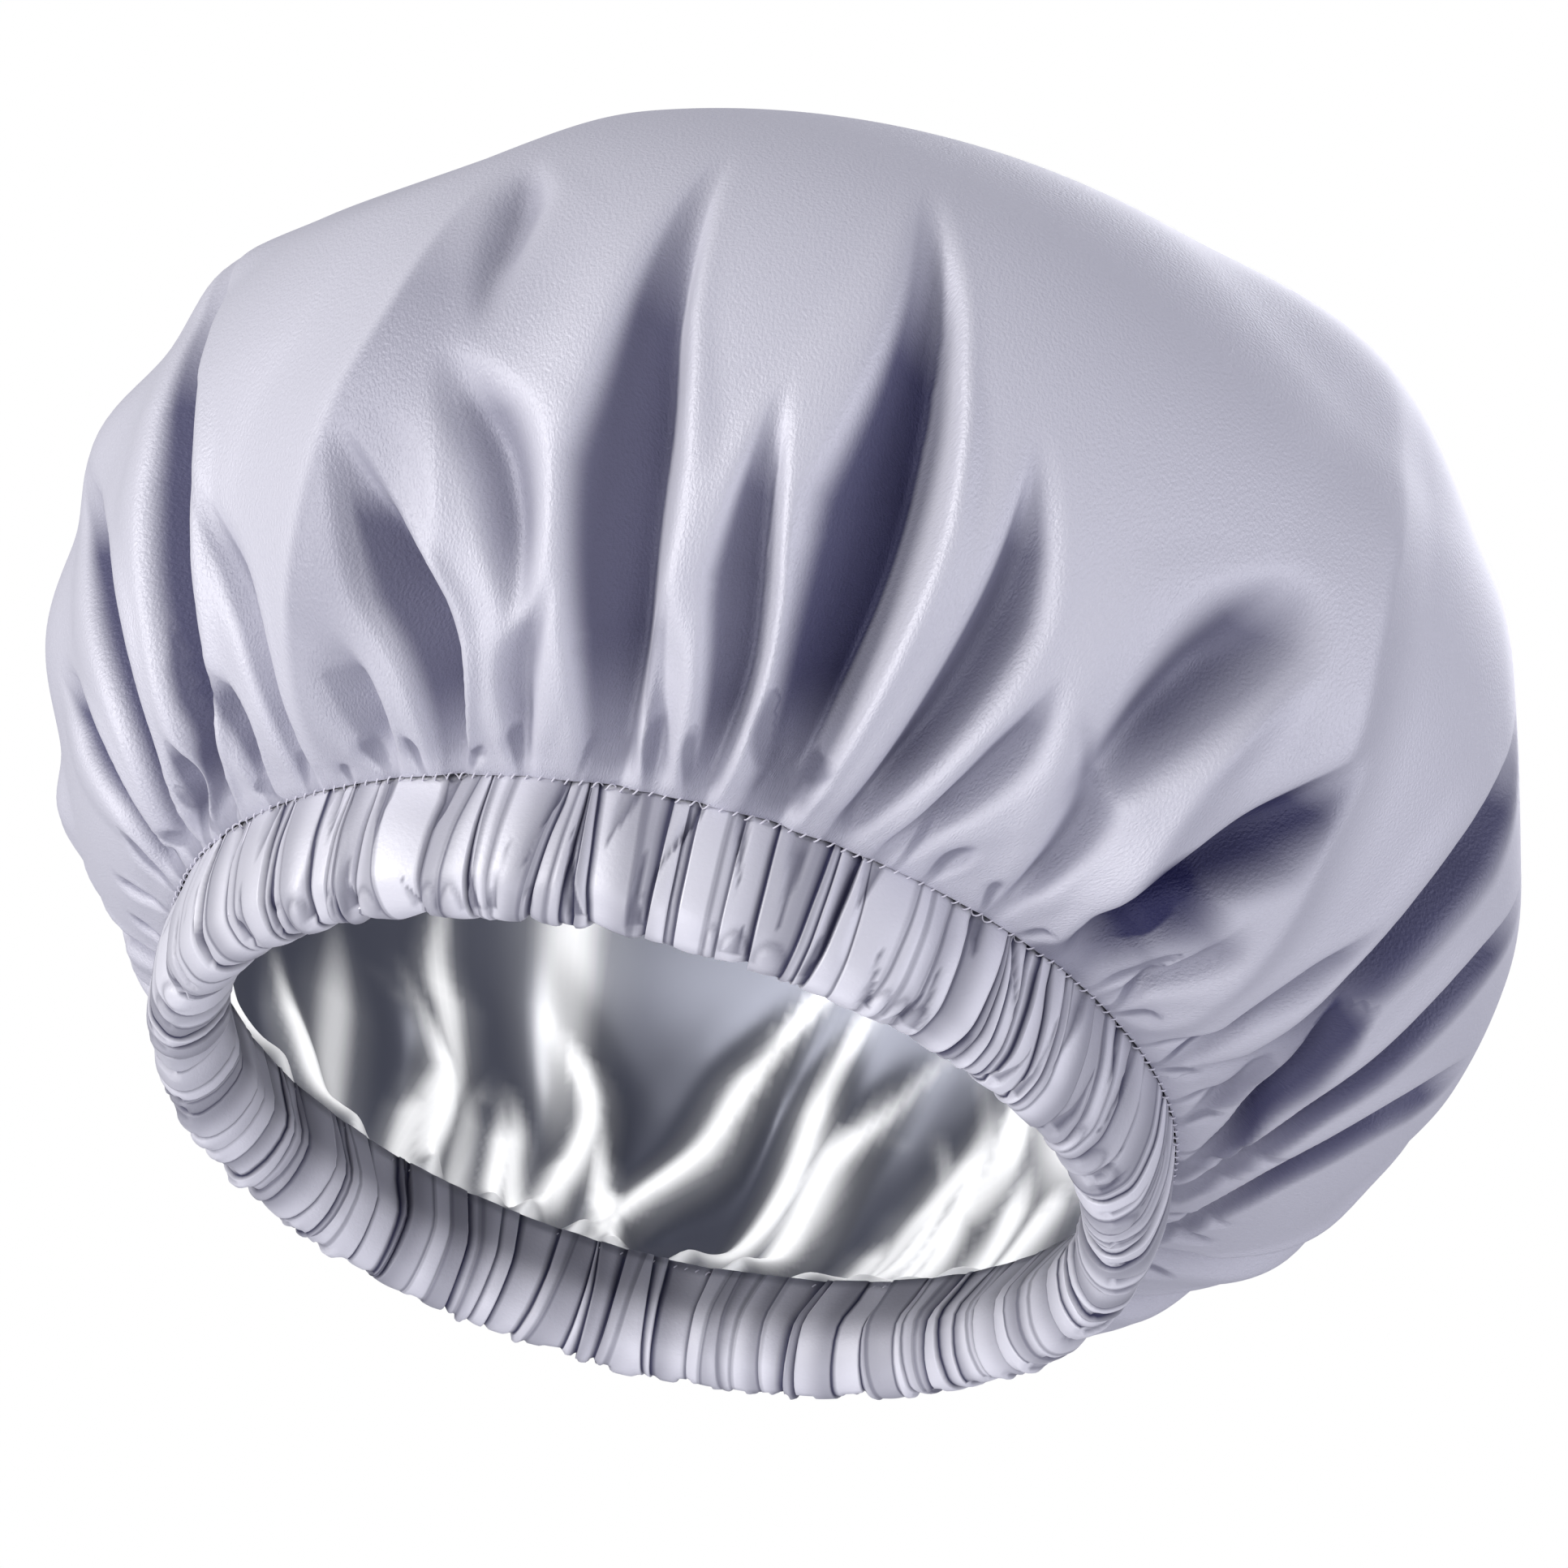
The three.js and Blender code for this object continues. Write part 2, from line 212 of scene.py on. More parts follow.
def rise_at(share):
    """Rise at a share of the way along the cloth from the crown to the seam, and that whole way."""
    rises = np.linspace(1, 0, 600)
    points = bag(np.zeros_like(rises), rises)[0]
    steps = np.linalg.norm(np.diff(points, axis=0), axis=1)
    way = np.concatenate([[0], np.cumsum(steps)])
    return np.interp(share, way / way[-1], rises), way[-1]


# Folds. A valley follows its places, each (azimuth in degrees, rise), from its tip down to its
# foot, with the reach of its left and right slopes and its depth in millimetres, and how much
# shade is painted into it; on the lining's film this paints a highlight instead. A crease comes
# to a sharp bottom, a soft one is round, a lip drops from a sharp edge on its line, and a ridge
# rises to a sharp crest there. A gleam is flat: it only paints a highlight onto the lining's
# film. The blunter a fold, from 0 to 1, the rounder its tip.
Fold = namedtuple("Fold", "places left right depth dark kind blunt", defaults=["crease", 0.6])
FRONT_FOLDS = (
    Fold(((-86, .36), (-80, .27), (-77, .14), (-79, .03)), 9, 4, 10, .9),
    Fold(((-81, .53), (-72, .36), (-69, .19), (-73, .03)), 11, 5, 12, .9),
    Fold(((-64, .34), (-61.8, .27), (-61, .20), (-61.5, .13), (-66, .02)), 6, 3, 6, .82),
    Fold(((-69, .65), (-62, .50), (-60, .33), (-59.5, .17), (-64, .01)), 13, 6, 15, .88),
    Fold(((-58, .41), (-51, .27), (-49, .16), (-49, .02)), 7, 3, 4, .5),
    Fold(((-57, .22), (-55, .13), (-56, .03)), 5, 3, 5, .65),
    Fold(((-65, .17), (-66, .08), (-70, .01)), 5, 3, 5, .7),
    Fold(((-36, .64), (-38, .50), (-42, .38), (-45, .22), (-46, .08)), 26, 40, 5, .4, "ridge", 1),
    Fold(((-34, .63), (-32, .57), (-31, .50)), 6, 9, 4, .35, "soft"),
    Fold(((-41, .21), (-39, .13), (-38, .02)), 9, 3, 5, .45, "crease", 1),
    Fold(((-41, .40), (-36, .30), (-31, .18), (-30, .02)), 12, 4, 13, .75, "crease", .3),
    Fold(((-33, .46), (-28, .36), (-25, .23)), 8, 11, 7.5, .5, "soft", 1),
    Fold(((-33, .44), (-32, .30), (-30, .12), (-29, .02)), 10, 8, 2, .12, "ridge"),
    Fold(((-22, .26), (-24, .16), (-23, .03)), 6, 6, 5, .35, "soft"),
    Fold(((-18, .65), (-17, .46), (-16, .28), (-13, .02)), 17, 7, 15, .8, "crease", .2),
    Fold(((-13, .27), (-12, .17), (-9, .03)), 4, 5, 4, .3),
    Fold(((-8, .46), (-7, .32), (-5, .18), (-4, .02)), 10, 4, 11, .72, "crease", .3),
    Fold(((0, .22), (0, .13), (3, .02)), 7, 4, 5, .5, "crease", 1),
    Fold(((-2, .65), (2, .53), (3, .40), (3, .20), (4, .02)), 21, 6, 18, .92, "crease", .2),
    Fold(((10, .48), (10, .36), (9, .20), (9, .02)), 0, 16, 9, .7, "lip"),
    Fold(((18, .29), (17, .20), (15, .03)), 4, 10, 5, .55, "soft"),
    Fold(((20, .27), (26, .19), (29, .03)), 7, 7, 5, .5, "soft"),
    Fold(((33, .47), (28, .34), (25, .20)), 13, 16, 11, .72, "soft", 1),
    Fold(((36, .44), (32, .28), (33, .16), (38, .02)), 12, 10, 4, .15, "ridge"),
    Fold(((43, .38), (38, .27), (36, .18), (35, .10), (38, .02)), 0, 17, 9.5, .95, "lip", .5),
    Fold(((37, .24), (34, .12), (35, .07), (38, .01)), 0, 24, 7, .98, "lip", .4),
    Fold(((37.5, .22), (40.5, .16), (41.2, .11), (41, .08), (39, .02)),
         17, 2, 2.5, 1, "crease", .8),
    Fold(((45, .19), (47, .13), (47, .02)), 5, 5, 4, .4, "soft", 1),
    Fold(((45, .71), (40, .52), (42, .33), (53, .07)), 24, 18, 4, .15, "ridge"),
    Fold(((45, .10), (47, .05), (49, .01)), 3, 2, 3, .6),
    Fold(((56, .29), (56, .20), (57, .12), (61, .03)), 5, 6, 4, .55, "soft"),
    Fold(((66, .58), (61, .45), (58.5, .36), (58, .28), (59, .20), (62, .10)),
         0, 16, 7.5, .92, "lip"),
    Fold(((64, .15), (64, .10), (68, .05), (72, .01)), 0, 6, 3.5, .5, "lip"),
    Fold(((60.5, .27), (62, .20), (65, .14), (69, .09), (76, .05), (82, .01)),
         0, 12, 6.5, .93, "lip", .9),
    Fold(((79, .50), (72, .38), (70, .30), (71, .22), (74, .14), (81, .07), (88, .02)),
         0, 11, 6.5, .9, "lip"),
    Fold(((86, .36), (81, .27), (80, .20), (83, .13), (89, .08), (99, .03)),
         0, 10.5, 6.5, .9, "lip", .8),
    Fold(((57, .10), (59, .05), (61, .01)), 3, 2, 3, .7),
)
BACK_FOLDS = (
    Fold(((104, .58), (107, .34), (108, .02)), 5, 14, 8, .6),
    Fold(((119, .44), (120, .24), (122, .02)), 5, 9, 7, .6),
    Fold(((133, .61), (137, .36), (138, .02)), 12, 5, 9, .6),
    Fold(((146, .46), (146, .30), (145, .02)), 5, 8, 5, .6),
    Fold(((153, .54), (154, .40), (151, .02)), 4, 7, 6, .6),
    Fold(((159, .48), (156, .36), (158, .02)), 5, 6, 5, .6),
    Fold(((157, .56), (163, .49), (167, .36), (166, .02)), 5, 8, 8, .6),
    Fold(((165, .60), (169, .50), (170, .34), (173, .02)), 4, 7, 7, .6),
    Fold(((168, .62), (175, .50), (178, .38), (183, .25), (186, .02)), 5, 9, 8, .6),
    Fold(((188, .42), (187, .32), (184, .18), (181, .02)), 5, 5, 4, .6),
    Fold(((197, .56), (192, .47), (189, .37), (191, .20), (193, .02)), 9, 5, 8, .6),
    Fold(((199, .40), (196, .34), (197, .02)), 4, 5, 4, .6),
    Fold(((209, .49), (203, .37), (204, .20), (206, .02)), 8, 5, 8, .6),
    Fold(((222, .42), (218, .22), (217, .02)), 9, 5, 6, .6),
    Fold(((236, .62), (233, .36), (231, .02)), 12, 5, 9, .6),
    Fold(((248, .46), (246, .24), (247, .02)), 5, 9, 6, .6),
    Fold(((262, .57), (258, .34), (258, .02)), 11, 4, 8, .6),
)
# Broad swellings that give the outline its corners, and flats between them: azimuth, rise,
# height and spread in millimetres
BULGES = (
    (46, .71, 5.5, 50), (76, .56, -5, 46), (99, .29, -2.4, 20), (111, .22, 2.6, 26),
    (130, .15, 4.8, 28), (-106, .20, -9, 18), (-98, .28, 2.6, 12), (-90, .41, 3.4, 24),
    (-80, .53, 3.6, 26), (-69, .62, 3.4, 24), (-50, .69, -4.4, 42),
)


def small_gathers(seed, count):
    """Short tucks along the seam, between the folds, with some shade painted into each."""
    pick = np.random.default_rng(seed)
    rows = []
    for k in range(count):
        foot = 360 * (k + pick.uniform(-0.3, 0.3)) / count
        top = pick.uniform(0.04, 0.14)
        lean = pick.uniform(-2.5, 2.5)
        left, right = pick.uniform(1.4, 3.0, 2)
        depth = pick.uniform(1.0, 2.8)
        places = ((foot + lean, top), (foot + lean / 2, top / 2), (foot, .005))
        rows.append(Fold(places, left, right, depth, .5))
    return tuple(rows)


def with_ends(spots):
    """The spots of a curve, with one more beyond each end."""
    return np.vstack([2 * spots[0] - spots[1], spots, 2 * spots[-1] - spots[-2]])


def between(a, b, c, d, t):
    """The smooth curve a share t of the way from b to c, where a comes before them and d after."""
    return b + 0.5 * t * (c - a + t * (2 * a - 5 * b + 4 * c - d + t * (3 * (b - c) + d - a)))


def line_of(places, rise):
    """Azimuth in degrees of the smooth curve through a fold's places, and how it leans."""
    spots = with_ends(np.array(places[::-1], float))
    t = np.linspace(0, 1, 12, endpoint=False)[:, None]
    curve = [between(*four, t) for four in zip(spots, spots[1:], spots[2:], spots[3:])]
    azimuth, height = np.vstack([*curve, spots[-2:-1]]).T
    at = np.clip(rise, height[0], height[-1])
    return np.interp(at, height, azimuth), np.interp(at, height, np.gradient(azimuth, height))


def within(off, left, left_blur, right, right_blur):
    """How far inside an edge a point lies: 0.5 on it, rising by 1 over each side's blur."""
    inside = np.minimum((left + off) / left_blur, (right - off) / right_blur)
    return np.clip(0.5 + inside, 0, 1)


def shine(off, left, right):
    """The highlight painted on the film beside a gleam's line: a bright core in a dim glow."""
    reach = np.abs(off) / np.maximum(np.where(off < 0, left, right), GLEAM_LEAST)
    core = 1 - smoothstep(reach, CORE_FULL, 1)
    glow = 1 - smoothstep(reach, GLOW_FULL, GLOW_REACH)
    return CORE_SHARE * core + GLOW_SHARE * glow


def beside(fold, azimuth, rise, radius):
    """How far points lie to the right of a fold's line, and how far up it, from 0 to 1."""
    top, foot = fold.places[0][1], fold.places[-1][1]
    line, lean = line_of(fold.places, rise)
    turned = (np.degrees(azimuth) - line + 180) % 360 - 180
    way = np.where(rise < 0.5, WAY_BELOW, WAY_ABOVE)
    off = np.radians(turned) * radius
    off /= np.hypot(1, np.radians(lean) * radius / way)
    return off, (rise - foot) / (top - foot)


# A fold widens up to FADES_FROM of its climb and fades out above it. One whose foot lies above
# LOW_FOOT closes below it too, over BELOW_FOOT of its climb.
FADES_FROM = 0.6
LOW_FOOT = 0.07
BELOW_FOOT = -0.25


def opened(fold, climb):
    """How a fold changes as it climbs: its share of the full width, its depth and how much shade, on
    the film how much highlight, is painted into it.
    """
    closes = fold.places[-1][1] > LOW_FOOT
    opening = 0.45 + 0.55 * smoothstep(climb, BELOW_FOOT if closes else 0, FADES_FROM)
    pointed = np.clip(1 - climb, 0, 1)
    narrow = fold.blunt * np.sqrt(pointed) + (1 - fold.blunt) * pointed
    width = np.clip(opening * np.minimum(1, 2 * narrow), 0.02, 1)
    fade = 1 - smoothstep(climb, FADES_FROM, 1.0)
    if closes:
        start = smoothstep(climb, BELOW_FOOT, 0.4)
    else:
        start = 0.5 + 0.5 * smoothstep(climb, 0, 0.3)
    depth = 1.15 * fold.depth * MM * fade * start
    dark = fold.dark * np.minimum(1, 1.6 * fade) * start
    return width, depth, dark


def crease(off, left, slope):
    """A valley with a sharp bottom: its dip, from 0 to 1, and how far inside the shade painted on its
    left slope.
    """
    t = np.clip((np.hypot(off, ROUNDING) - ROUNDING) / slope, 0, 1)
    inside = within(off, 0.85 * left, np.maximum(2.2 * left, FINEST), 0.8 * MM, CRISP)
    return (1 - t) ** 1.35, inside


def dent(off, left, right, slope, film):
    """A valley with a round bottom: its dip, and the soft shade painted in it, on the film a painted
    highlight instead.
    """
    dip = bump(np.clip(np.abs(off) / slope, 0, 1))
    if film:
        return dip, shine(off, 0.5 * left, 0.5 * right)
    inside = within(off, 0.5 * left, 4 * left, 0.5 * right, 4 * right)
    return dip, smoothstep(inside, EDGE_LOW, EDGE_HIGH)


def lip(off, right, depth, azimuth, wider):
    """A drop from a sharp edge: its dip, how far the edge swells, and how far inside the shade painted
    below the edge.
    """
    past = (off + wider + np.hypot(off + wider, ROUNDING)) / 2
    t = np.clip(past / (right + wider), 0, 1)
    dip = 6.75 * t * (1 - t) ** 2      # 27 / 4 brings it to 1 where it is deepest
    rim = bump((off + 0.3 * right) / (0.5 * right + 1 * MM))
    # The painted shade reaches further across a fold on the flanks, where its far slope is seen side
    # on.
    facing = 0.7 + 0.3 * smoothstep(np.abs(np.degrees(azimuth)), 25, 60)
    inside = within(off, 0, CRISP, facing * right, np.maximum(3.5 * right, FINEST))
    return dip, 0.12 * depth * rim, inside


def ridge(off, right, slope, depth):
    """A sharp crest: how far it swells, and the soft shade painted on its right, the side away from the
    light.
    """
    t = np.clip((np.hypot(off, ROUNDING) - ROUNDING) / slope, 0, 1)
    painted_tone = np.clip(0.5 + off / (2.5 * MM), 0, 1) * (1 - smoothstep(off, 0.2 * right, right))
    return depth * (1 - t) ** 1.5, painted_tone


def fold_field(azimuth, rise, radius, folds, wider, film):
    """How deep the folds press in and how far they swell, and the shade painted into them: how
    much light each point is painted as losing, how far it is inside that painted shade's edge, and
    the soft shade painted beside a ridge and in a round dent. On the film these paint highlights."""
    deep, swell, shade, edge, painted_tone, most = np.zeros((6, len(rise)))
    for fold in folds:
        near = (rise < fold.places[0][1] + 0.02) & (rise > fold.places[-1][1] - 0.1)
        turn = azimuth[near]
        off, climb = beside(fold, turn, rise[near], radius[near])
        width, depth, dark = opened(fold, climb)
        left = (fold.left * MM + wider) * width
        right = (fold.right * MM + wider) * width
        slope = np.where(off < 0, left, right) + 0.01 * MM
        dip, lift, soft, inside = 0, 0, 0, None
        if fold.kind == "gleam":
            soft = shine(off, left, right)
        elif fold.kind == "ridge":
            lift, soft = ridge(off, right, slope, depth)
        elif fold.kind == "lip":
            dip, lift, inside = lip(off, right, depth, turn, wider)
        elif fold.kind == "soft":
            dip, soft = dent(off, left, right, slope, film)
        else:
            dip, inside = crease(off, left, slope)
        if fold.kind in ("soft", "crease"):
            # The cloth swells a little beside a valley
            shoulder = np.where(off < 0, -left, right) * 1.4
            lift = 0.08 * depth * bump((off - shoulder) / (0.9 * slope))
        deep[near] += (depth * dip) ** 3
        swell[near] += lift
        painted_tone[near] = np.maximum(painted_tone[near], dark * soft)
        if inside is None:
            continue
        weight = dark * (smoothstep(inside, EDGE_LOW, EDGE_HIGH) + 0.3 * inside)
        darkest = weight > most[near]
        most[near] = np.where(darkest, weight, most[near])
        shade[near] = np.where(darkest, dark, shade[near])
        edge[near] = np.where(darkest, inside, edge[near])
    return np.cbrt(deep), swell, (shade, edge, painted_tone)


def cloth_points(azimuth, rise, folds, inset, wider=0.0, film=False):
    """The folded cloth's points, and the shade painted into its folds, on the film painted highlights.
    """
    points, out, radius = bag(azimuth, rise)
    deep, swell, painted_marks = fold_field(azimuth, rise, radius, folds, wider, film)
    hold = 0.06 + 0.94 * smoothstep(rise, 0, SEAM_SHARE)
    height = hold * (swell - deep)
    for turn, level, tall, spread in BULGES:
        away = (np.degrees(azimuth) - turn + 180) % 360 - 180
        reach = np.hypot(np.radians(away) * radius, way_up(rise) - way_up(level)) / (spread * MM)
        height += tall * MM * bump(reach)
    return points + out * (height - inset)[:, None], painted_marks


def disc_places(piece):
    """Azimuth and ring, 0 in the middle to 1 at the edge, of a square grid drawn out to a disc."""
    x, y = points_of(piece).T[:2]
    ring = np.maximum(np.abs(x), np.abs(y))
    safe = np.where(ring > 0, ring, 1)
    wide = np.abs(x) >= np.abs(y)
    azimuth = np.where(wide, pi / 4 * y / safe * np.sign(x), pi / 2 - pi / 4 * x / safe * np.sign(y))
    azimuth = azimuth + np.where(wide, (x < 0) * pi, (y < 0) * pi)
    return azimuth, ring


def gathered_disc(name, cells, place, softening):
    """A round of cloth gathered at its edge, with the shade and highlights painted into its folds kept
    at its points.
    """
    piece = grid(name, 2 * cells, 2 * cells)
    azimuth, ring = disc_places(piece)
    share = 1 - (1 - ring) ** SEAM_CROWD
    rise, way = rise_at(share)
    points, painted_marks = place(azimuth, rise)
    put_points(piece, points)
    split_short(piece)
    for kept, values in zip(("painted_shade_and_highlight", "painted_mark_edge", "painted_soft_shade_and_highlight"), painted_marks):
        note_painted_light(piece, kept, values)
    put_uv(piece, np.stack([np.cos(azimuth), np.sin(azimuth)], -1) * (share * way)[:, None])
    face_out(piece, (0, 0, BAG_WAIST))
    relax(piece, softening)
    return piece


SHELL_FOLDS = FRONT_FOLDS + BACK_FOLDS + small_gathers(GATHER_SEED, SEAM_GATHERS)
# Highlights painted as bright streaks and arches on the film, belonging to no fold: the places
# of each one's line, its reach to the left and right in millimetres, and how bright it is painted
GLEAM_ROWS = (
    (((160, .54), (157, .53), (154.5, .50), (154, .45), (156, .38), (158, .30), (159, .05)), 4.5, 4, 1),
    (((151, .60), (152, .48), (152.5, .42), (153.5, .36), (154.5, .30), (155, .05)), 4, 2.5, .95),
    (((143, .62), (145, .50), (146, .40)), 34, 16, 1),
    (((149, .48), (149.5, .40), (150, .05)), 3, 3, .95),
    (((145.5, .48), (146, .38), (146, .05)), 3.5, 3, .9),
    (((136, .60), (138, .40), (139, .05)), 26, 8, .95),
    (((159, .53), (162, .52), (164, .50), (165, .46), (167, .39), (168, .05)), 4, 4, 1),
    (((158, .36), (160, .29), (161, .05)), 3, 3, .8),
    (((189, .34), (187, .31), (185, .24), (184, .05)), 2.5, 3, 1),
    (((189, .36), (190, .28), (192, .05)), 2.5, 3, 1),
    (((196, .72), (195, .58), (193, .51), (191, .36)), 8, 9, .45),
    (((198, .41), (196, .39), (195, .35), (195, .29), (193, .05)), 3, 2.5, .95),
    (((198, .41), (199, .37), (200, .33), (200, .05)), 4, 3, .5),
    (((208, .60), (205, .49), (203, .44), (202, .36), (204, .25), (205, .05)), 3, 3, .8),
    (((212, .46), (207, .44), (204, .41), (203, .36), (204, .30), (206, .05)), 2.5, 3, .9),
    (((204, .37), (205, .30), (208, .05)), 2, 2.5, .9),
    (((216, .50), (214, .36), (215, .05)), 5, 6, .5),
)
LINING_GLEAMS = tuple(
    Fold(places, left, right, 0, bright, "gleam", 1)
    for places, left, right, bright in GLEAM_ROWS
)
# The lining follows the shell's folds, most of them rounder, and highlights are painted along them on
# the film
LINING_FOLDS = LINING_GLEAMS + tuple(
    fold._replace(dark=1.0) if fold.kind in ("lip", "ridge")
    else fold._replace(dark=1.0, kind="soft", blunt=1)
    for fold in FRONT_FOLDS
) + tuple(
    fold._replace(
        left=max(fold.left, 7), right=max(fold.right, 7), depth=0.8 * fold.depth,
        dark=1.0, kind="soft", blunt=1,
    )
    for fold in BACK_FOLDS
)


def shell_place(azimuth, rise):
    points, painted_marks = cloth_points(azimuth, rise, SHELL_FOLDS, 0)
    points[:, 2] -= SEAM_LAP * (1 - smoothstep(rise, 0, SEAM_SHARE))
    return points, painted_marks


def lining_place(azimuth, rise):
    points, painted_marks = cloth_points(
        azimuth, rise, LINING_FOLDS, LINING_GAP, wider=LINING_SLACK, film=True,
    )
    tuck = (SEAM_RADIUS - LINING_SEAM_RADIUS) * (1 - smoothstep(rise, 0, TUCK_SHARE))
    away = np.stack([np.sin(azimuth), -np.cos(azimuth)], -1)
    points[:, :2] -= away * tuck[:, None]
    drop = SEAM_HEIGHT + LINING_GAP - LINING_SEAM_HEIGHT
    points[:, 2] -= drop * (1 - smoothstep(rise, 0, DROP_SHARE))
    return points, painted_marks


def make_shell():
    piece = gathered_disc("satin_shell", SHELL_CELLS, shell_place, softening=3)
    smooth(piece)
    return piece


def make_lining():
    piece = gathered_disc("silver_lining", LINING_CELLS, lining_place, softening=8)
    give_wall(piece, CLOTH / 2)
    smooth(piece)
    return piece


# The ruched casing. Its outline runs from the inner seam round the lower fold to the outer seam,
# each spot as a share of half its thickness and of its height.
CASING_SHARES = (
    (-0.14, 1.07), (-0.62, 0.78), (-1.02, 0.47), (-0.76, 0.15), (-0.30, 0), (0.28, 0),
    (0.76, 0.15), (0.98, 0.49), (0.99, 0.78), (0.87, 1.12),
)
Facet = namedtuple("Facet", "start wide lean left right tone_left tone_right wave hook")
CREASE_LINES = np.array([0.06, 0.4])   # where the mesh's lines run beside a crease, in millimetres
FACET_FROM, FACET_STEP = 0.9, 0.62     # and over the facet between, about a step apart
NO_HOOK = -9                           # so far off that no arch shows


def outline_at(share):
    """The casing's outline at a share of its way from the inner seam to the outer one."""
    spots = with_ends(np.array(CASING_SHARES))
    at = share * (len(CASING_SHARES) - 1)
    k = np.clip(np.floor(at).astype(int), 0, len(CASING_SHARES) - 2)
    t = (at - k)[:, None]
    out, up = between(*(spots[k + i] for i in range(4)), t).T
    return np.stack([out * CASING_THICKNESS / 2, up * CASING_HEIGHT], -1)


def casing_facets(seed):
    """The casing's facets, one after another round it, between its sharp creases. Start, width
    and lean are in degrees, left and right say how deep its edges lie, in millimetres, and the
    painted shade at its left and right how much light is painted as lost there."""
    pick = np.random.default_rng(seed)
    rows = []
    at, lean = 0.0, 0.0
    while at < 360:
        wide = pick.uniform(1.0, 2.4) if pick.random() < 0.5 else pick.uniform(2.6, 5.0)
        if at + wide > 359:
            wide = 360 - at
        low, high = pick.choice([(0, 1), (1, 0), (0, 0.4), (0.7, 0.5), (0.1, 0)])
        deep = pick.uniform(1.4, 3.0)
        # Shade painted across each facet, from one edge to the other, as on shaded pleats.
        tone_left, tone_right = pick.choice([0, 0, 0.08, 0.22, 0.4, 0.5], 2)
        wave, hook = pick.uniform(0, tau), pick.random() < 0.3
        rows.append(Facet(at, wide, lean, low * deep, high * deep, tone_left, tone_right, wave, hook))
        at += wide
        ahead = pick.normal(0, 2.0)
        lean = np.clip(ahead, lean - 0.75 * wide, lean + 0.75 * wide) if at < 355 else 0.0
    return rows


def casing_columns(facets):
    """Where each upright line of the casing's mesh runs, so that creases fall between two lines."""
    columns = []
    for k, facet in enumerate(facets):
        before, after = facets[k - 1], facets[(k + 1) % len(facets)]
        wide = radians(facet.wide) * RIM_RADIUS / MM
        count = max(2, int((wide - 2 * FACET_FROM) / FACET_STEP) + 2)
        inner = np.linspace(FACET_FROM, wide - FACET_FROM, count)
        steps = (facet.left - before.right, facet.right - after.left)
        for spot in np.concatenate([CREASE_LINES, inner, (wide - CREASE_LINES)[::-1]]):
            u = spot / wide
            # Lines of shade painted down the creases, on the deeper side of each step.
            dark = 0.0
            for step, away in zip(steps, (spot, wide - spot)):
                line = 1 - smoothstep(away, 0.3, 0.9 + 0.5 * max(step, 0))
                dark = max(dark, line * min(0.97, 0.42 + 0.55 * step) * (step > -0.3))
            lean = facet.lean + (after.lean - facet.lean) * u
            press = facet.left + (facet.right - facet.left) * u - 0.35 * sin(pi * u)
            turn = float(smoothstep(u, 0.1, 0.9))
            painted_tone = facet.tone_left + (facet.tone_right - facet.tone_left) * turn
            middle = facet.start + u * facet.wide
            hook = u if facet.hook else NO_HOOK
            columns.append((middle, lean, press, dark, painted_tone, facet.wave, hook))
    return np.array(columns)


def add_darts(azimuth, share, seed, count):
    """Short wedge-shaped tucks in the casing, from its lower fold or from its outer seam: how deep
    they press in, in millimetres, and how much shade is painted in them."""
    pick = np.random.default_rng(seed)
    deep = np.zeros_like(share)
    dark = np.zeros_like(share)
    for k in range(count):
        foot = tau * (k + pick.uniform(-0.4, 0.4)) / count
        start, way = (0.52, 1) if pick.random() < 0.6 else (0.97, -1)
        long, wide = pick.uniform(0.13, 0.34), pick.uniform(1.0, 2.6)
        lean, press = pick.normal(0, 0.02), pick.uniform(0.8, 1.8)
        along = (share - start) * way / long
        off = (azimuth - foot - lean * along + pi) % tau - pi
        across = off * RIM_RADIUS / MM / (wide * np.clip(1 - along, 0.05, 1))
        near = (along > 0) & (along < 1)
        wedge = np.where(near, 1 - smoothstep(np.abs(across), 0.5, 1.05), 0)
        side = 0.45 + 0.55 * smoothstep(across, -0.6, 0.5)
        dark = np.maximum(dark, 0.65 * wedge * side * smoothstep(along, 0, 0.06))
        deep = np.maximum(deep, press * wedge * (1 - along))
    return deep, dark


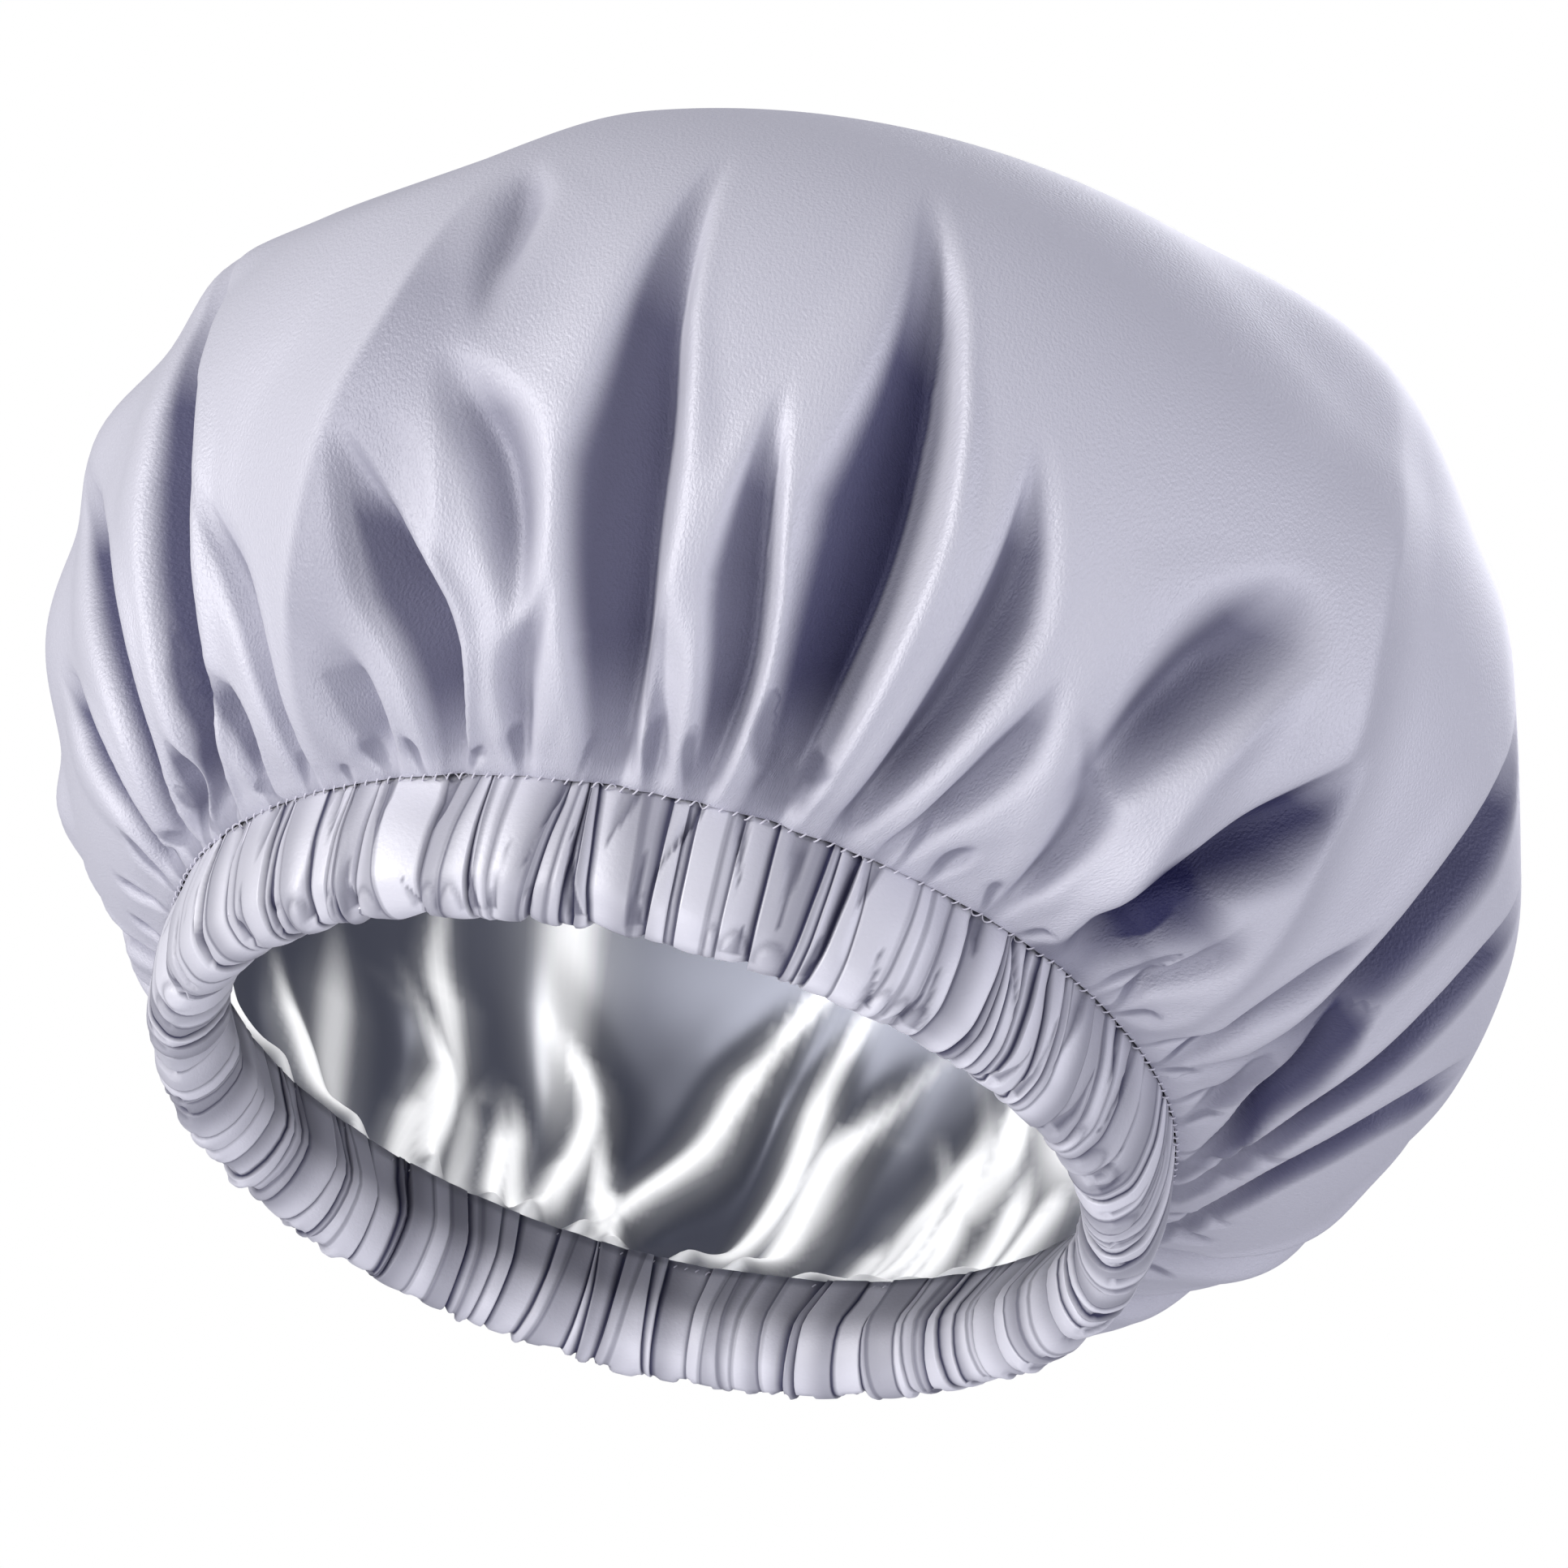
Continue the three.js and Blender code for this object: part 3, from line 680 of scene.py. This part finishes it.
def make_casing():
    """The casing's folded strip, from the inner seam to the outer one. Its rows crowd on the outer
    side, just above the lower fold."""
    columns = casing_columns(casing_facets(FACET_SEED))
    columns = np.vstack([columns, columns[:1] + [360, 0, 0, 0, 0, 0, 0]])
    around = len(columns) - 1
    piece = grid("ruched_casing", around, CASING_ROWS)
    x, y = points_of(piece).T[:2]
    picked = np.rint((x + 1) / 2 * around).astype(int)
    middle, lean, press, dark, painted_tone, wave, hook = columns[picked].T
    row = (y + 1) / 2
    crowd, crowded_at = 0.5, 0.57
    share = row - crowd / tau * (np.sin(tau * (row - crowded_at)) + sin(tau * crowded_at))
    waving = 0.4 * np.sin(5 * share + np.radians(9 * middle))
    azimuth = np.radians(middle + lean * (2 * share - 1) + waving)
    outline = outline_at(share)
    ahead = outline_at(np.clip(share + 0.004, 0, 1)) - outline_at(np.clip(share - 0.004, 0, 1))
    ahead /= np.linalg.norm(ahead, axis=1, keepdims=True)
    inward = np.stack([-ahead[:, 1], ahead[:, 0]], -1)
    press = press * (0.72 + 0.28 * np.sin(8 * share + wave))
    arch = np.hypot((hook - 0.5) / 0.4, (share - 0.55) / 0.085)
    press -= 0.9 * (1 - smoothstep(arch, 0.5, 1.1))
    dart, painted_dart_shade = add_darts(azimuth, share, DART_SEED, CASING_DARTS)
    press += dart
    # Shade painted in an arch round each hook.
    painted_arch_shade = 0.35 * np.exp(-((arch - 1) / 0.2) ** 2) * (share > 0.53)
    hold = 0.25 + 0.75 * smoothstep(share, 0, 0.1) * (1 - smoothstep(share, 0.9, 1))
    fold = bump((share - 0.5) / 0.12)
    move = MM * (press * hold * (1 - 0.3 * fold) - 0.55 * fold)
    radial = RIM_RADIUS + outline[:, 0] + inward[:, 0] * move
    height = outline[:, 1] + inward[:, 1] * move
    put_points(piece, np.stack([
        MOUTH.x + radial * np.sin(azimuth), -radial * np.cos(azimuth), height,
    ], -1))
    put_uv(piece, np.stack([azimuth * RIM_RADIUS, share * 70 * MM], -1))
    # The casing's painted shade: crease lines, facets, arches and tucks.
    note_painted_light(piece, "painted_shade_and_highlight", 1 - (1 - dark) * (1 - painted_tone) * (1 - painted_arch_shade) * (1 - painted_dart_shade))
    note_painted_light(piece, "painted_mark_edge", np.ones_like(share))
    bpy.ops.object.mode_set(mode="EDIT")
    bpy.ops.mesh.select_all(action="SELECT")
    bpy.ops.mesh.remove_doubles(threshold=0.001 * MM)
    bpy.ops.object.mode_set(mode="OBJECT")
    return piece


def finish_casing(piece):
    """Turns the casing's faces out from the middle of its loop, and gives it its wall."""
    points = points_of(piece)
    normals = np.empty(3 * len(piece.data.vertices))
    piece.data.vertices.foreach_get("normal", normals)
    normals = normals.reshape(-1, 3)
    away = points[:, :2] - np.array([MOUTH.x, 0])
    reach = np.linalg.norm(away, axis=1, keepdims=True)
    off = np.stack([reach[:, 0] - RIM_RADIUS, points[:, 2] - CASING_HEIGHT / 2], -1)
    flat = (normals[:, :2] * away / reach).sum(1)
    if (flat * off[:, 0] + normals[:, 2] * off[:, 1]).sum() < 0:
        piece.data.flip_normals()
    give_wall(piece, CLOTH)
    smooth(piece)


# The edge stitch over a seam

STEPS_A_TURN = 8


def overlock(name, radius, height, turns, reach):
    """One thread wound round a seam in a closed ring of loops."""
    data = bpy.data.curves.new(name, "CURVE")
    data.dimensions = "3D"
    data.bevel_depth = THREAD / 2
    data.bevel_resolution = 1
    spline = data.splines.new("POLY")
    steps = STEPS_A_TURN * turns
    spline.points.add(steps - 1)
    spline.use_cyclic_u = True
    for k in range(steps):
        azimuth, roll = tau * k / steps, tau * k / STEPS_A_TURN
        r = radius + reach * cos(roll)
        z = height + 0.8 * reach * sin(roll)
        spline.points[k].co = (MOUTH.x + r * sin(azimuth), -r * cos(azimuth), z, 1)
    piece = bpy.data.objects.new(name, data)
    bpy.context.scene.collection.objects.link(piece)
    bpy.ops.object.select_all(action="DESELECT")
    piece.select_set(True)
    bpy.context.view_layer.objects.active = piece
    bpy.ops.object.convert(target="MESH")
    smooth(bpy.context.object)
    return bpy.context.object


# Materials

PEBBLE = 0.85 * MM   # the satin's grain, drawn coarser than its weave so that it shows
WAVE_UNIT = 3.2      # at scale 1, the wave node draws this many ribs to the metre


def to_linear(code):
    """sRGB hex to linear colour."""
    parts = [int(code[i:i + 2], 16) / 255 for i in (0, 2, 4)]
    return (*(c / 12.92 if c <= 0.04045 else ((c + 0.055) / 1.055) ** 2.4 for c in parts), 1)


def add_node(tree, kind, settings=(), links=(), **values):
    """Adds a node, sets its properties and inputs, and links other nodes' outputs to its inputs."""
    made = tree.nodes.new(kind)
    for name, value in dict(settings).items():
        setattr(made, name, value)
    for name, value in values.items():
        made.inputs[name.replace("_", " ")].default_value = value
    for name, source in dict(links).items():
        tree.links.new(source, made.inputs[name])
    return made


def new_material(name):
    material = bpy.data.materials.new(name)
    material.use_nodes = True
    material.node_tree.nodes.clear()
    return material, material.node_tree


def mixed_by_fold(tree, lit, shaded, edge_low, edge_high):
    """A colour painted from lit to shaded inside the edge of a fold's painted shade, or by the soft
    shade painted beside it, whichever is stronger. A Mix node has its colours in inputs 6 and 7 and
    gives them in output 2."""
    amount = add_node(tree, "ShaderNodeAttribute", {"attribute_name": "painted_shade_and_highlight"})
    edge = add_node(tree, "ShaderNodeAttribute", {"attribute_name": "painted_mark_edge"})
    inside = add_node(
        tree, "ShaderNodeMapRange", {"interpolation_type": "SMOOTHSTEP"},
        {"Value": edge.outputs["Fac"]}, From_Min=edge_low, From_Max=edge_high,
    )
    dark = add_node(tree, "ShaderNodeMath", {"operation": "MULTIPLY"})
    tree.links.new(amount.outputs["Fac"], dark.inputs[0])
    tree.links.new(inside.outputs["Result"], dark.inputs[1])
    painted_tone = add_node(tree, "ShaderNodeAttribute", {"attribute_name": "painted_soft_shade_and_highlight"})
    share = add_node(tree, "ShaderNodeMath", {"operation": "MAXIMUM"})
    tree.links.new(dark.outputs[0], share.inputs[0])
    tree.links.new(painted_tone.outputs["Fac"], share.inputs[1])
    mixed = add_node(tree, "ShaderNodeMix", {"data_type": "RGBA"})
    mixed.inputs[6].default_value = to_linear(lit)
    mixed.inputs[7].default_value = to_linear(shaded)
    tree.links.new(share.outputs[0], mixed.inputs[0])
    return mixed


def satin(name, colour, shaded, grain_height, roughness):
    """Polyester satin: a soft broad shine, a fine pebbled grain, and navy shade painted deep in its
    folds.
    """
    material, tree = new_material(name)
    place = add_node(tree, "ShaderNodeUVMap")
    grain = add_node(
        tree, "ShaderNodeTexNoise", links={"Vector": place.outputs["UV"]},
        Scale=1 / PEBBLE, Detail=2.0, Roughness=0.5,
    )
    relief = add_node(
        tree, "ShaderNodeBump", links={"Height": grain.outputs["Fac"]},
        Strength=0.7, Distance=grain_height,
    )
    painted_shade_colour = mixed_by_fold(tree, colour, shaded, EDGE_LOW, EDGE_HIGH)
    shader = add_node(
        tree, "ShaderNodeBsdfPrincipled",
        links={"Normal": relief.outputs["Normal"], "Base Color": painted_shade_colour.outputs[2]},
        Roughness=roughness, Metallic=0.15,
    )
    add_node(tree, "ShaderNodeOutputMaterial", links={"Surface": shader.outputs["BSDF"]})
    return material


def silver_film(name):
    """Vacuum-metallised film: it mirrors softly, with painted reflections, white highlights painted
    along the ridges of its folds.
    """
    material, tree = new_material(name)
    # The film's colour is painted reflection: dark grey away from the folds, white highlights along
    # them.
    painted_tone = mixed_by_fold(tree, "3b3d48", "ffffff", edge_low=0.46, edge_high=0.6)
    shader = add_node(
        tree, "ShaderNodeBsdfPrincipled", links={"Base Color": painted_tone.outputs[2]},
        Roughness=0.34, Metallic=0.4,
    )
    add_node(tree, "ShaderNodeOutputMaterial", links={"Surface": shader.outputs["BSDF"]})
    return material


def woven(name, colour, rib):
    """Ribbed elastic or twisted thread: fine ridges that catch the light in rows."""
    material, tree = new_material(name)
    place = add_node(tree, "ShaderNodeTexCoord")
    ribs = add_node(
        tree, "ShaderNodeTexWave", {"bands_direction": "Z"}, {"Vector": place.outputs["Object"]},
        Scale=1 / rib / WAVE_UNIT, Distortion=0.6, Detail=1.0,
    )
    relief = add_node(
        tree, "ShaderNodeBump", links={"Height": ribs.outputs["Fac"]},
        Strength=0.5, Distance=0.2 * rib,
    )
    shader = add_node(
        tree, "ShaderNodeBsdfPrincipled", links={"Normal": relief.outputs["Normal"]},
        Base_Color=to_linear(colour), Roughness=0.6,
    )
    add_node(tree, "ShaderNodeOutputMaterial", links={"Surface": shader.outputs["BSDF"]})
    return material


def plain(name, colour, roughness):
    """Matt paper: one even colour that spreads the light and shows no shine."""
    material, tree = new_material(name)
    shader = add_node(
        tree, "ShaderNodeBsdfPrincipled", Base_Color=to_linear(colour), Roughness=roughness,
    )
    add_node(tree, "ShaderNodeOutputMaterial", links={"Surface": shader.outputs["BSDF"]})
    return material


def dress(piece, material):
    piece.data.materials.clear()
    piece.data.materials.append(material)


# Camera and light

def look_from(place, right, up, ahead):
    camera_data = bpy.data.cameras.new("camera")
    camera = bpy.data.objects.new("camera", camera_data)
    bpy.context.scene.collection.objects.link(camera)
    axes = Matrix((right, up, -ahead)).transposed().to_4x4()
    camera.matrix_world = Matrix.Translation(place) @ axes
    return camera


def make_camera():
    """The camera looks up into the mouth, tilted to its left, with the mouth low on the left."""
    rising, roll, distance = radians(25.9), radians(15.5), 1.35
    view = Vector((0, cos(rising), sin(rising)))
    level = Vector((1, 0, 0))
    upright = level.cross(view)
    right = cos(roll) * level + sin(roll) * upright
    up = cos(roll) * upright - sin(roll) * level
    place = MOUTH - distance * view
    across, upward = 29.1 * MM, 76.5 * MM
    aim = MOUTH + across * right + upward * up
    ahead = (aim - place).normalized()
    right = (right - right.dot(ahead) * ahead).normalized()
    camera = look_from(place, right, right.cross(ahead), ahead)
    camera.data.sensor_width = 36
    camera.data.lens = 153.9
    camera.data.clip_end = 50
    bpy.context.scene.camera = camera


def area_light(name, place, target, size, power, colour="ffffff", only=None):
    """A round lamp, out of the camera's sight, that lights everything or one piece only."""
    data = bpy.data.lights.new(name, "AREA")
    data.shape = "DISK"
    data.size = size
    data.energy = power
    data.color = to_linear(colour)[:3]
    lamp = bpy.data.objects.new(name, data)
    lamp.location = place
    lamp.rotation_euler = (Vector(target) - Vector(place)).to_track_quat("-Z", "Y").to_euler()
    lamp.visible_camera = False
    bpy.context.scene.collection.objects.link(lamp)
    if only:
        lit = bpy.data.collections.new(name + "_lights")
        lit.objects.link(only)
        lamp.light_linking.receiver_collection = lit


def make_world():
    """White paper behind the cap, and a dimmer room that lights it from all round."""
    world = bpy.data.worlds.new("studio")
    world.use_nodes = True
    bpy.context.scene.world = world
    tree = world.node_tree
    tree.nodes.clear()
    sight = add_node(tree, "ShaderNodeLightPath")
    room = add_node(tree, "ShaderNodeBackground", Color=to_linear("cdced8"), Strength=0.57)
    paper = add_node(tree, "ShaderNodeBackground", Color=to_linear("ffffff"), Strength=1.0)
    mixed = add_node(tree, "ShaderNodeMixShader")
    tree.links.new(sight.outputs["Is Camera Ray"], mixed.inputs[0])
    tree.links.new(room.outputs[0], mixed.inputs[1])
    tree.links.new(paper.outputs[0], mixed.inputs[2])
    add_node(tree, "ShaderNodeOutputWorld", links={"Surface": mixed.outputs[0]})


def make_floor():
    """A plain pale floor, well below the cap because the camera looks up from under it."""
    bpy.ops.mesh.primitive_plane_add(size=16, location=(0, 0, -1.1))
    floor = bpy.context.object
    floor.name = "floor"
    dress(floor, plain("matt_white_paper", "f2f2f5", 0.9))


make_camera()
make_world()
make_floor()

# Soft lamps: a strong one from the left, a fill from the right, one from behind and above, and a
# weak one from below. Two small lamps further down light one piece each: one in the mouth for the
# lining, and one under the rim for the casing.
middle = (0, 0, 0.09)
area_light("key", (-1.75, -0.95, -0.05), middle, 0.8, 22, "fffef8")
area_light("fill", (1.6, -0.9, 0.25), middle, 1.2, 11, "fbfbff")
area_light("back", (0.5, 0.9, 1.3), middle, 1.0, 12, "fbfbff")
area_light("under", (-0.5, -0.9, -0.9), (0.03, 0.05, 0.03), 0.7, 4)
bpy.context.scene.view_settings.view_transform = "Standard"

shell = make_shell()
lining = make_lining()
area_light("inside", (-0.03, -0.03, 0.12), (0.02, 0.1, 0.07), 0.12, 0.6, only=lining)
casing = make_casing()
finish_casing(casing)
area_light("rim", (0.03, -0.03, -0.15), (0.1, 0.04, 0.01), 0.14, 0.08, only=casing)
outer_stitch = overlock(
    "shell_seam_stitches", SEAM_RADIUS - 0.1 * MM, CASING_HEIGHT + 0.9 * MM,
    turns=240, reach=0.75 * MM,
)
inner_stitch = overlock(
    "lining_seam_stitches", LINING_SEAM_RADIUS, CASING_HEIGHT - 0.3 * MM,
    turns=250, reach=0.9 * MM,
)
# Each satin's second colour is the navy shade painted deep in its folds.
shell_satin = satin(
    "polyester_satin_shell", "d4d3df", "2a2a5a", grain_height=0.35 * MM, roughness=0.52,
)
band_satin = satin(
    "polyester_satin_band", "dfdee8", "222248", grain_height=0.1 * MM, roughness=0.5,
)
dress(shell, shell_satin)
dress(casing, band_satin)
dress(lining, silver_film("metallised_film"))

thread = woven("polyester_thread", "dcdae6", 0.3 * MM)
dress(outer_stitch, thread)
dress(inner_stitch, thread)
dress(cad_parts["elastic_lap_stitching"], thread)
dress(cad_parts["casing_join_stitching"], thread)
dress(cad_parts["elastic_band"], woven("woven_elastic", "eeedf2", 1.0 * MM))

for piece, node, slot_name in (
    (outer_stitch, "shell_seam_overlock", "thread"),
    (inner_stitch, "lining_seam_overlock", "thread"),
    (shell, "outer_shell", "shell_satin"),
    (lining, "inner_lining", "silver_lining"),
    (casing, "band_casing", "band_satin"),
):
    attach(piece, "root")
    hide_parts(node)
